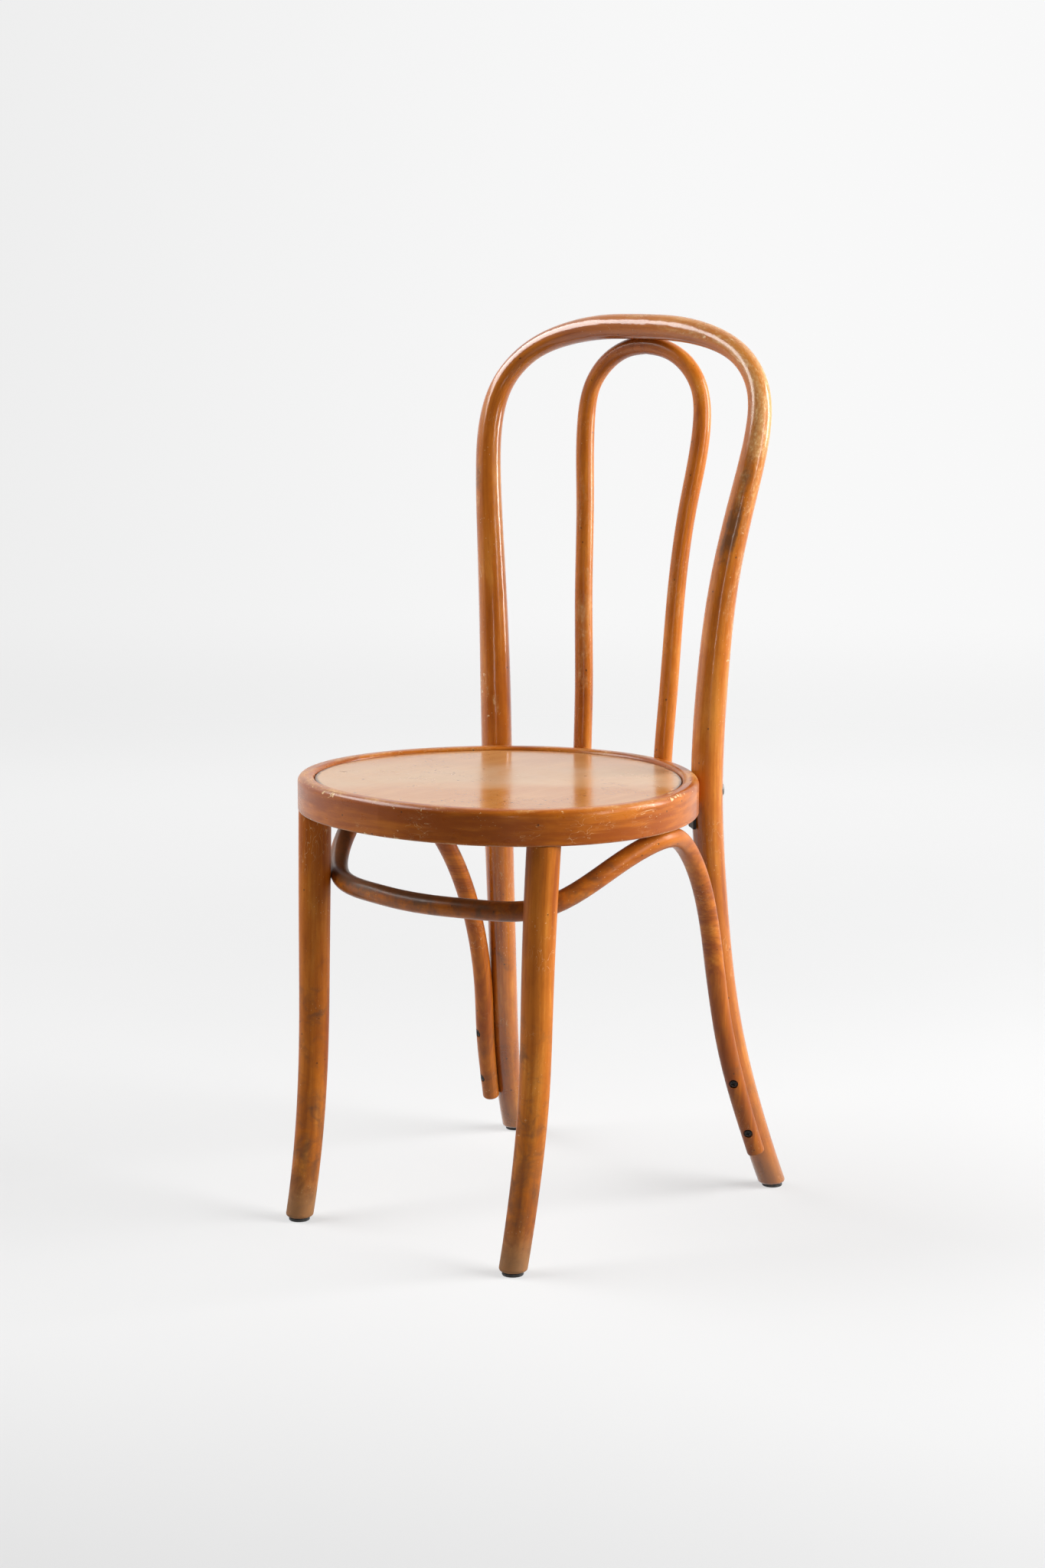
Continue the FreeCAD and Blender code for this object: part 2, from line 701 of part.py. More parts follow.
ring = drilled(ring, pair(rear_hollow) + pair(inner_hollow) + pair(tenon_hole) + bores["ring"])

panel = slab(bead_width + panel_gap, panel_top - panel_thick, panel_top)
panel = panel.makeFillet(panel_edge_round, rim_edges(panel, panel_top, lambda x: True))

# The whole chair, moved so that the origin is under its middle.

boxes = [shape.optimalBoundingBox() for shape in (hoop_solid, inner_solid, ring, front_solid)]
front_most = min(box.YMin for box in boxes)
rear_most = max(box.YMax for box in boxes)
shift = Vector(0, -(front_most + rear_most) / 2.0, 0)


def finish(name, *shapes):
    solids = [solid for shape in shapes for solid in shape.Solids]
    group = solids[0] if len(solids) == 1 else Part.makeCompound(solids)
    group.translate(shift)
    export(name, group)
    print(name, len(solids), "valid", group.isValid())


finish("back_hoop", hoop_solid)
finish("inner_hoop", inner_solid)
finish("seat_ring", ring)
finish("seat_panel", panel)
finish("front_leg_left", front_solid)
finish("front_leg_right", mirrored(front_solid))
finish("leg_brace", brace_solid)
finish("corner_bracket_left", bracket)
finish("corner_bracket_right", mirrored(bracket))
finish("glide_front_left", foot_glide(front_foot))
finish("glide_front_right", mirrored(foot_glide(front_foot)))
finish("glide_rear_left", foot_glide(rear_foot))
finish("glide_rear_right", mirrored(foot_glide(rear_foot)))
finish("glide_nails", *(pair(foot_nail(front_foot)) + pair(foot_nail(rear_foot))))
finish("brace_end_screws", *end_screws)
finish("brace_leg_screws", *leg_screws)
finish("brace_top_screws", *top_screws)
finish("crown_screws", *crown_screws)
finish("inner_hoop_screws", *inner_screws)
finish("rear_leg_bolts", *bolts)
finish("bolt_washers", *washers)
finish("bolt_nuts", *nuts)
finish("bracket_screws", *bracket_screws)
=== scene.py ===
import math

import bpy
from mathutils import Matrix, Vector

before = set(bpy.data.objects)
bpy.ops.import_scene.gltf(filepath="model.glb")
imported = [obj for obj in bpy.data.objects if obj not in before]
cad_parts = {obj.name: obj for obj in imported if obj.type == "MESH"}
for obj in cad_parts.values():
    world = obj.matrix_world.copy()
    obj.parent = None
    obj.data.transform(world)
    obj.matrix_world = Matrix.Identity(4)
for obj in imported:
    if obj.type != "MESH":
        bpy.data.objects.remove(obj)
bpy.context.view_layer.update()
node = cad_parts

# Camera: 38 degrees round from the front towards +X, a little higher than the back, and looking down.

SHOT_SIDE = 37.92
YAW = math.radians(SHOT_SIDE)
PITCH = math.radians(9.66)
ROLL = math.radians(0.23)
CAMERA_PLACE = (1.9138, -2.4561, 0.9766)
SENSOR_MM = 36.0
LENS_MM = 70.33

forward = Vector((-math.sin(YAW) * math.cos(PITCH), math.cos(YAW) * math.cos(PITCH), -math.sin(PITCH)))
level = Vector((math.cos(YAW), math.sin(YAW), 0.0))
inward = Vector((-math.sin(YAW), math.cos(YAW), 0.0))
upright = level.cross(forward)
right = level * math.cos(ROLL) + upright * math.sin(ROLL)
above = upright * math.cos(ROLL) - level * math.sin(ROLL)
lens = bpy.data.cameras.new("camera")
lens.sensor_width = SENSOR_MM
lens.lens = LENS_MM
camera = bpy.data.objects.new("camera", lens)
bpy.context.scene.collection.objects.link(camera)
camera.matrix_world = Matrix((
    (right.x, above.x, -forward.x, CAMERA_PLACE[0]),
    (right.y, above.y, -forward.y, CAMERA_PLACE[1]),
    (right.z, above.z, -forward.z, CAMERA_PLACE[2]),
    (0.0, 0.0, 0.0, 1.0),
))
bpy.context.scene.camera = camera
bpy.context.scene.view_settings.view_transform = "Standard"


class Net:
    """A node tree with short calls for the nodes that the materials use."""

    def __init__(self, tree):
        self.tree = tree
        self.tree.nodes.clear()

    def add(self, kind, **settings):
        made = self.tree.nodes.new(kind)
        for key, value in settings.items():
            setattr(made, key, value)
        return made

    def put(self, socket, value):
        if isinstance(value, bpy.types.NodeSocket):
            self.tree.links.new(value, socket)
        elif value is not None:
            socket.default_value = value

    def math(self, operation, a, b=None, clamp=False):
        made = self.add("ShaderNodeMath", operation=operation, use_clamp=clamp)
        for socket, value in zip(made.inputs, (a, b)):
            self.put(socket, value)
        return made.outputs[0]

    def plus(self, a, b):
        return self.math("ADD", a, b)

    def minus(self, a, b):
        return self.math("SUBTRACT", a, b)

    def times(self, a, b):
        return self.math("MULTIPLY", a, b)

    def most(self, a, b):
        return self.math("MAXIMUM", a, b)

    def swing(self, value, amount):
        """A pattern around one half, moved to lie around nothing and scaled."""
        return self.times(self.minus(value, 0.5), amount)

    def step(self, value, low, high, to_low=0.0, to_high=1.0):
        """Smooth step of a value from low to high."""
        made = self.add("ShaderNodeMapRange", interpolation_type="SMOOTHSTEP")
        for socket, item in zip(made.inputs, (value, low, high, to_low, to_high)):
            self.put(socket, item)
        return made.outputs[0]

    def peak(self, value, centre, reach):
        """1 where the value is at centre, falling to 0 at reach on either side."""
        away = self.math("ABSOLUTE", self.minus(value, centre))
        return self.step(away, 0.0, reach, 1.0, 0.0)

    def hypot(self, a, b):
        return self.math("SQRT", self.plus(self.times(a, a), self.times(b, b)))

    def vector(self, x, y, z):
        made = self.add("ShaderNodeCombineXYZ")
        for socket, value in zip(made.inputs, (x, y, z)):
            self.put(socket, value)
        return made.outputs[0]

    def parts(self, vector):
        made = self.add("ShaderNodeSeparateXYZ")
        self.put(made.inputs[0], vector)
        return made.outputs

    def spot(self):
        """The point on the object."""
        return self.add("ShaderNodeTexCoord").outputs["Object"]

    def dot(self, vector, direction):
        made = self.add("ShaderNodeVectorMath", operation="DOT_PRODUCT")
        self.put(made.inputs[0], vector)
        made.inputs[1].default_value = direction
        return made.outputs["Value"]

    def curve(self, value, points):
        """A smooth curve through the points, both numbers between 0 and 1."""
        made = self.add("ShaderNodeFloatCurve")
        line = made.mapping.curves[0]
        for x, y in points[1:-1]:
            line.points.new(x, y)
        line.points[0].location = points[0]
        line.points[len(points) - 1].location = points[-1]
        for spot in line.points:
            spot.handle_type = "AUTO"
        made.mapping.update()
        self.put(made.inputs["Value"], value)
        return made.outputs[0]

    def noise(self, vector, scale, detail, rough, warp=0.0):
        made = self.add("ShaderNodeTexNoise")
        self.put(made.inputs["Vector"], vector)
        self.put(made.inputs["Scale"], scale)
        self.put(made.inputs["Detail"], detail)
        self.put(made.inputs["Roughness"], rough)
        self.put(made.inputs["Distortion"], warp)
        return made.outputs[0]

    def cells(self, vector):
        """Distance to the nearest of scattered points, one in each unit of the vector."""
        made = self.add("ShaderNodeTexVoronoi", feature="F1")
        self.put(made.inputs["Vector"], vector)
        self.put(made.inputs["Scale"], 1.0)
        self.put(made.inputs["Randomness"], 1.0)
        return made.outputs["Distance"]

    def blend(self, amount, a, b):
        made = self.add("ShaderNodeMix", data_type="RGBA", blend_type="MIX")
        self.put(made.inputs[0], amount)
        self.put(made.inputs[6], a)
        self.put(made.inputs[7], b)
        return made.outputs[2]

    def between(self, amount, a, b):
        """A number that goes from a to b."""
        made = self.add("ShaderNodeMix", data_type="FLOAT")
        self.put(made.inputs[0], amount)
        self.put(made.inputs[2], a)
        self.put(made.inputs[3], b)
        return made.outputs[0]

    def either(self, amount, a, b):
        """Shader a where the amount is 0, shader b where it is 1."""
        made = self.add("ShaderNodeMixShader")
        for socket, value in zip(made.inputs, (amount, a, b)):
            self.put(socket, value)
        return made.outputs[0]

    def rays(self):
        """Whether the ray comes from the camera, and whether it comes off gloss or through glass."""
        path = self.add("ShaderNodeLightPath").outputs
        return path["Is Camera Ray"], self.most(path["Is Glossy Ray"], path["Is Transmission Ray"])

    def matt(self, colour):
        made = self.add("ShaderNodeBsdfDiffuse")
        self.put(made.inputs["Color"], colour)
        return made.outputs[0]

    def glow(self, strength):
        made = self.add("ShaderNodeEmission")
        made.inputs["Color"].default_value = WHITE
        self.put(made.inputs["Strength"], strength)
        return made.outputs[0]

    def relief(self, height, strength, distance):
        made = self.add("ShaderNodeBump")
        made.inputs["Strength"].default_value = strength
        made.inputs["Distance"].default_value = distance
        self.put(made.inputs["Height"], height)
        return made.outputs[0]

    def surface(self, shader, kind="ShaderNodeOutputMaterial"):
        self.put(self.add(kind).inputs["Surface"], shader)

    def finish_with(self, colour, rough, normal):
        """The main shader on the surface. Gives its sockets, for the values that stay the same all over."""
        made = self.add("ShaderNodeBsdfPrincipled")
        self.put(made.inputs["Base Color"], colour)
        self.put(made.inputs["Roughness"], rough)
        self.put(made.inputs["Normal"], normal)
        self.surface(made.outputs[0])
        return made.inputs


def rgb(red, green, blue):
    return (red, green, blue, 1.0)


def grey(value):
    return rgb(value, value, value)


def material(name):
    made = bpy.data.materials.new(name)
    made.use_nodes = True
    return made, Net(made.node_tree)


# Studio lamps. Azimuth 0 is the front of the chair, and it grows towards the +X side.

WHITE = grey(1.0)
CENTRE = Vector((0.0, 0.0, 0.46))


def studio_direction(azimuth, elevation):
    a = math.radians(azimuth)
    e = math.radians(elevation)
    return Vector((math.sin(a) * math.cos(e), -math.cos(a) * math.cos(e), math.sin(e)))


def softbox(name, azimuth, elevation, distance, wide, tall, power):
    """A rectangular lamp facing the chair, its azimuth counted from the camera's."""
    data = bpy.data.lights.new(name, "AREA")
    data.shape = "RECTANGLE"
    data.size = wide
    data.size_y = tall
    data.energy = power
    lamp = bpy.data.objects.new(name, data)
    bpy.context.scene.collection.objects.link(lamp)
    back = studio_direction(SHOT_SIDE + azimuth, elevation)
    lamp.location = CENTRE + back * distance
    lamp.rotation_mode = "QUATERNION"
    lamp.rotation_quaternion = (-back).to_track_quat("-Z", "Y")
    return lamp


# The key lamp only lights. A narrower one gives its gloss, so that grazing views of the crown don't turn white.
softbox("key_right", 82.0, 23.0, 3.0, 2.4, 1.7, 167.0).visible_glossy = False
softbox("key_gloss", 98.0, 20.0, 3.0, 0.70, 2.0, 60.0).visible_diffuse = False
softbox("strip_right", 55.0, 12.0, 3.0, 0.26, 1.2, 11.0)
softbox("fill_left", -90.0, 12.0, 2.8, 2.4, 2.0, 6.0)
softbox("bank_left", -100.0, 43.0, 2.8, 2.5, 1.15, 84.0)
softbox("strip_front", -4.0, 2.0, 3.4, 0.16, 0.8, 3.0)

# World: a pale wall to the camera, a bright far side and dark near side in the gloss, and little light of its own.

WORLD_LIGHT = 0.05
world = bpy.data.worlds.new("studio")
bpy.context.scene.world = world
world.use_nodes = True
net = Net(world.node_tree)
way = net.add("ShaderNodeTexCoord").outputs["Generated"]
wall = net.step(net.dot(way, level), -0.30, 0.10, 0.83, 0.94)
mirror = net.step(net.dot(way, inward), -0.25, 0.75, 0.07, 0.92)
seen, shiny = net.rays()
glow = net.add("ShaderNodeBackground")
glow.inputs["Color"].default_value = WHITE
net.put(glow.inputs["Strength"], net.between(seen, net.between(shiny, WORLD_LIGHT, mirror), wall))
net.surface(glow.outputs[0], "ShaderNodeOutputWorld")

# Floor: a large disc that fades into the wall, with the shadow on it.

FLOOR_RADIUS = 6.0
FLOOR_RINGS = 12
FLOOR_SPOKES = 64


def disc(name, radius, rings, spokes):
    verts = [(0.0, 0.0, 0.0)]
    faces = []
    for ring in range(1, rings + 1):
        for spoke in range(spokes):
            angle = 2.0 * math.pi * spoke / spokes
            reach = radius * ring / rings
            verts.append((reach * math.cos(angle), reach * math.sin(angle), 0.0))
    for spoke in range(spokes):
        after = (spoke + 1) % spokes
        faces.append((0, 1 + spoke, 1 + after))
        for ring in range(rings - 1):
            base = 1 + ring * spokes
            faces.append((base + spoke, base + spokes + spoke, base + spokes + after, base + after))
    mesh = bpy.data.meshes.new(name)
    mesh.from_pydata(verts, [], faces)
    made = bpy.data.objects.new(name, mesh)
    bpy.context.scene.collection.objects.link(made)
    return made


floor = disc("studio_floor", FLOOR_RADIUS, FLOOR_RINGS, FLOOR_SPOKES)
paper, net = material("studio_paper")
spot = net.spot()
reach = net.add("ShaderNodeVectorMath", operation="LENGTH")
net.put(reach.inputs[0], spot)
fade = net.step(reach.outputs["Value"], 1.6, 5.6)
near = net.dot(spot, -inward)
beside = net.dot(spot, level)
glare = net.plus(net.step(near, 0.2, 1.3, 0.55, 0.42), net.step(near, 1.2, 3.0, 0.0, 0.33))
glare = net.plus(glare, net.step(near, -2.9, -0.8, 0.21, 0.0))
glare = net.plus(glare, net.step(beside, -1.2, 0.6, -0.050, -0.016))
sheen = net.step(near, -0.2, 1.5, 0.90, 0.14)
seen, shiny = net.rays()
mottle = net.noise(spot, 3.0, 3.0, 0.5)
shown = net.add("ShaderNodeAddShader")
net.put(shown.inputs[0], net.matt(net.blend(mottle, grey(0.285), grey(0.295))))
net.put(shown.inputs[1], net.glow(glare))
bounced = net.either(shiny, net.matt(net.blend(mottle, grey(0.43), grey(0.45))), net.glow(sheen))
clear = net.add("ShaderNodeBsdfTransparent").outputs[0]
net.surface(net.either(fade, net.either(seen, bounced, shown.outputs[0]), clear))
floor.data.materials.append(paper)

# Wood. Each piece first gets coordinates that follow its bend: s along the rod, u outwards and v backwards across
# it. The tables give the rod's middle line, and HOOP_RODS its radius, from 0 at the foot to 1 at the top.

ARCH_TURN = 0.21
HOOP_START = 0.80
HOOP_RADII = [
    (0.0, 0.1757), (0.045, 0.1661), (0.098, 0.1539), (0.153, 0.1457), (0.208, 0.1414), (0.263, 0.1391),
    (0.319, 0.1410), (0.374, 0.1467), (0.429, 0.1572), (0.456, 0.1644), (0.483, 0.1711), (0.530, 0.1741),
    (0.609, 0.1709), (0.688, 0.1559), (0.774, 0.1352), (0.877, 0.1180), (1.0, 0.1105),
]
HOOP_DEPTHS = [
    (0.0, 0.2165), (0.045, 0.1894), (0.072, 0.1771), (0.098, 0.1667), (0.153, 0.1517), (0.208, 0.1416),
    (0.263, 0.1344), (0.291, 0.1331), (0.319, 0.1334), (0.374, 0.1364), (0.429, 0.1435), (0.456, 0.1497),
    (0.483, 0.1577), (0.530, 0.1678), (0.609, 0.1797), (0.688, 0.1901), (0.774, 0.1964), (0.877, 0.1992),
    (1.0, 0.1998),
]
HOOP_RODS = [
    (0.0, 0.0138), (0.098, 0.0148), (0.208, 0.0157), (0.291, 0.0167), (0.374, 0.0157), (0.456, 0.0139),
    (0.530, 0.0126), (0.609, 0.0115), (0.688, 0.0114), (0.774, 0.0124), (0.877, 0.0132), (1.0, 0.0132),
]
INNER_START = 0.803
INNER_RADII = [
    (0.0, 0.0532), (0.28, 0.0535), (0.33, 0.0562), (0.38, 0.0600), (0.42, 0.0632), (0.46, 0.0695),
    (0.50, 0.0756), (0.59, 0.0787), (0.70, 0.0830), (0.81, 0.0870), (0.92, 0.0878), (1.0, 0.0880),
]
INNER_DEPTHS = [
    (0.0, 0.1742), (0.28, 0.1746), (0.33, 0.1802), (0.38, 0.1838), (0.42, 0.1890), (0.46, 0.1974),
    (0.50, 0.2060), (0.59, 0.2085), (0.70, 0.2105), (0.81, 0.2118), (0.92, 0.2122), (1.0, 0.2116),
]
LEG_START = 0.3
LEG_TOP = 0.44
LEG_SIDES = [(0.0, 0.1403), (0.18, 0.1417), (0.35, 0.1435), (0.52, 0.1445), (0.77, 0.1457), (1.0, 0.1480)]
LEG_DEPTHS = [
    (0.0, 0.1930), (0.10, 0.1825), (0.18, 0.1756), (0.27, 0.1698), (0.35, 0.1657), (0.44, 0.1631),
    (0.60, 0.1610), (0.77, 0.1591), (1.0, 0.1540),
]
SEAT_MIDDLE = -0.0327
SEAT_RADIUS = 0.2042
BRACE_RADIUS = 0.17
BRACE_TOP = 0.41
BRACE_TURN = 0.19
IOR = 1.5
COAT_ROUGHNESS = 0.11


def arch_place(net, start, radii, depths, rods=None):
    """A hoop: straight legs below start, a turn about (0, start) above it. s is 0 at the top, below 0 at -X."""
    x, y, z = net.parts(net.spot())
    side = net.math("ABSOLUTE", x)
    rise = net.most(net.minus(z, start), 0.0)
    turn = net.math("DIVIDE", net.math("ARCTAN2", rise, side), math.pi / 2.0)
    low = net.math("MINIMUM", net.most(net.math("DIVIDE", z, start), 0.0), 1.0)
    both = net.times(net.plus(low, turn), 0.5)
    u = net.minus(net.hypot(side, rise), net.curve(both, radii))
    v = net.minus(y, net.curve(both, depths))
    s = net.plus(net.math("MINIMUM", z, start), net.times(turn, ARCH_TURN))
    s = net.times(net.minus(start + ARCH_TURN, s), net.math("SIGN", x))
    rod = net.curve(both, rods) if rods else None
    return {"x": x, "y": y, "z": z, "s": s, "u": u, "v": v, "rod": rod, "turn": turn}


def hoop_place(net):
    return arch_place(net, HOOP_START, HOOP_RADII, HOOP_DEPTHS, HOOP_RODS)


def inner_place(net):
    return arch_place(net, INNER_START, INNER_RADII, INNER_DEPTHS)


def leg_place(net):
    """The front legs: s grows with the height from LEG_START at the foot, and is below 0 at -X."""
    x, y, z = net.parts(net.spot())
    part = net.math("DIVIDE", z, LEG_TOP, clamp=True)
    u = net.minus(net.math("ABSOLUTE", x), net.curve(part, LEG_SIDES))
    v = net.plus(y, net.curve(part, LEG_DEPTHS))
    s = net.times(net.plus(z, LEG_START), net.math("SIGN", x))
    return {"x": x, "y": y, "z": z, "s": s, "u": u, "v": v}


def ring_place(net):
    """The seat ring: s runs round it from the +X side, u outwards, and v is the height."""
    x, y, z = net.parts(net.spot())
    deep = net.minus(y, SEAT_MIDDLE)
    s = net.times(net.math("ARCTAN2", deep, x), SEAT_RADIUS)
    u = net.minus(net.hypot(x, deep), SEAT_RADIUS)
    return {"x": x, "y": y, "z": z, "s": s, "u": u, "v": z}


def brace_place(net):
    """The brace climbs the rear legs, crosses under the seat and runs round the front."""
    x, y, z = net.parts(net.spot())
    deep = net.minus(y, SEAT_MIDDLE)
    side = net.math("ABSOLUTE", x)
    angle = net.math("ARCTAN2", side, net.times(deep, -1.0))
    lower = net.times(net.step(z, 0.24, 0.36, 1.0, 0.0), net.step(y, 0.0, 0.05))
    down = net.times(net.minus(BRACE_TOP, z), net.times(lower, 0.9))
    s = net.times(net.plus(net.times(angle, BRACE_TURN), down), net.math("SIGN", x))
    u = net.minus(net.hypot(side, deep), BRACE_RADIUS)
    v = net.plus(net.times(z, net.minus(1.0, lower)), net.times(y, net.times(lower, 0.7)))
    return {"x": x, "y": y, "z": z, "s": s, "u": u, "v": v}


# Patterns on the rods. Grains: repeats per metre along and across, shift, detail, roughness and warp.

GRAINS = {
    "drift": (5.0, 26.0, 0.0, 3.0, 0.55, 0.3),
    "streak": (7.0, 190.0, 3.7, 4.0, 0.60, 0.2),
    "fine": (40.0, 900.0, 9.1, 2.0, 0.50, 0.0),
    "blotch": (16.0, 45.0, 21.0, 4.0, 0.62, 0.5),
    "patchy": (24.0, 80.0, 51.0, 5.0, 0.68, 0.2),
    "speckle": (330.0, 330.0, 19.0, 3.0, 0.70, 0.0),
    "chip": (165.0, 165.0, 0.0, 4.0, 0.62, 0.6),
    "chip_area": (24.0, 24.0, 77.0, 3.0, 0.60, 0.0),
    "thread": (60.0, 170.0, 0.0, 1.0, 0.40, 1.2),
    "thread_area": (17.0, 17.0, 130.0, 2.0, 0.50, 0.0),
    "prick_area": (14.0, 14.0, 31.0, 2.0, 0.50, 0.0),
    "soot_and_shade": (55.0, 55.0, 11.0, 5.0, 0.68, 0.5),
    "haze": (30.0, 60.0, 33.0, 4.0, 0.60, 0.0),
    "ripple": (16.0, 38.0, 61.0, 2.0, 0.50, 0.0),
    "uneven": (70.0, 150.0, 83.0, 3.0, 0.60, 0.0),
}
# Dots: repeats per metre along and across, and shift.
DOTS = {
    "flecks": (95.0, 620.0, 4.0),
    "pricks": (190.0, 300.0, 71.0),
    "specks": (62.0, 62.0, 5.0),
}

LIGHT = rgb(0.660, 0.245, 0.034)
HONEY = rgb(0.480, 0.134, 0.010)
AMBER = rgb(0.300, 0.066, 0.005)
DARK = rgb(0.110, 0.034, 0.009)
WORN = rgb(0.660, 0.370, 0.140)
PALE = rgb(0.800, 0.560, 0.300)
# Dark smudges: dirt on the hoop and legs, painted shade on the front of the brace.
DIRT_AND_SHADE = rgb(0.120, 0.055, 0.024)
FLECK = rgb(0.24, 0.07, 0.012)
SPECK = rgb(0.07, 0.026, 0.009)
# Colour of the painted shade on faces that look up.
PAINTED_TOP_SHADE = rgb(0.095, 0.048, 0.024)
GRIME = rgb(0.150, 0.062, 0.026)
FOOT = rgb(0.300, 0.170, 0.080)


def stretched(net, at, along, across, shift):
    return net.vector(
        net.plus(net.times(at["s"], along), shift),
        net.times(at["u"], across),
        net.times(at["v"], across),
    )


def grain(net, at, name):
    along, across, shift, detail, rough, warp = GRAINS[name]
    return net.noise(stretched(net, at, along, across, shift), 1.0, detail, rough, warp)


def dots(net, at, name):
    return net.cells(stretched(net, at, *DOTS[name]))


def strongest(net, masks):
    total = masks[0]
    for mask in masks[1:]:
        total = net.most(total, mask)
    return total


def zones(net, at, spots):
    """Soft patches along a rod: each spot is its place s, its reach and its strength."""
    return strongest(net, [net.times(net.peak(at["s"], place, reach), strength)
                           for place, reach, strength in spots])


def patch(net, at, place, reach, angle, spread, strength):
    """A soft spot at a place along a rod and an angle round it, in degrees outwards from the front."""
    turn = math.radians(angle)
    toward = net.plus(net.times(at["u"], math.sin(turn)), net.times(at["v"], -math.cos(turn)))
    toward = net.math("DIVIDE", toward, at["rod"])
    wide = math.radians(spread)
    mask = net.step(toward, math.cos(wide), math.cos(0.35 * wide))
    return net.times(net.times(mask, net.peak(at["s"], place, reach)), strength)


def patches(net, at, spots):
    return strongest(net, [patch(net, at, *spot) for spot in spots])


def wood_colour(net, at, amber, streak):
    """Streaks, flecks and a slow drift between the light and the amber parts of the varnish."""
    tone = net.plus(net.swing(grain(net, at, "drift"), 1.6), net.swing(streak, 1.1))
    tone = net.plus(tone, net.swing(grain(net, at, "blotch"), 0.9))
    tone = net.plus(tone, 0.5 + (amber - 0.5) * 0.8)
    colour = net.blend(net.step(tone, 0.0, 0.55), LIGHT, HONEY)
    colour = net.blend(net.step(tone, 0.45, 1.05), colour, AMBER)
    colour = net.blend(net.step(dots(net, at, "flecks"), 0.10, 0.24, 0.30, 0.0), colour, FLECK)
    return net.blend(net.step(grain(net, at, "fine"), 0.56, 0.78, 0.0, 0.18), colour, DARK)


def small_marks(net, at, colour):
    """Fine scratches, pricks and dark specks. Gives the colour and the scratches."""
    thread = net.math("ABSOLUTE", net.minus(grain(net, at, "thread"), 0.5))
    scratch = net.times(net.step(thread, 0.004, 0.012, 1.0, 0.0),
                        net.step(grain(net, at, "thread_area"), 0.56, 0.68))
    colour = net.blend(net.times(scratch, 0.40), colour, PALE)
    pricks = net.times(net.step(dots(net, at, "pricks"), 0.09, 0.16, 0.50, 0.0),
                       net.step(grain(net, at, "prick_area"), 0.50, 0.66))
    colour = net.blend(pricks, colour, PALE)
    return net.blend(net.step(dots(net, at, "specks"), 0.045, 0.085, 0.80, 0.0), colour, SPECK), scratch


def paint_top_shade(net, at, soot_and_shade, top_shade_strength):
    """Painted shade: a darker film on what faces up, where the seat above shades it, mostly on the -X side."""
    facing_up = net.parts(net.add("ShaderNodeNewGeometry").outputs["Normal"])[2]
    top_shade_mask = net.step(net.plus(facing_up, net.swing(soot_and_shade, 1.0)), 0.0, 0.75, 0.0, top_shade_strength)
    return net.times(top_shade_mask, net.step(at["x"], 0.0, 0.13, 1.0, 0.15))


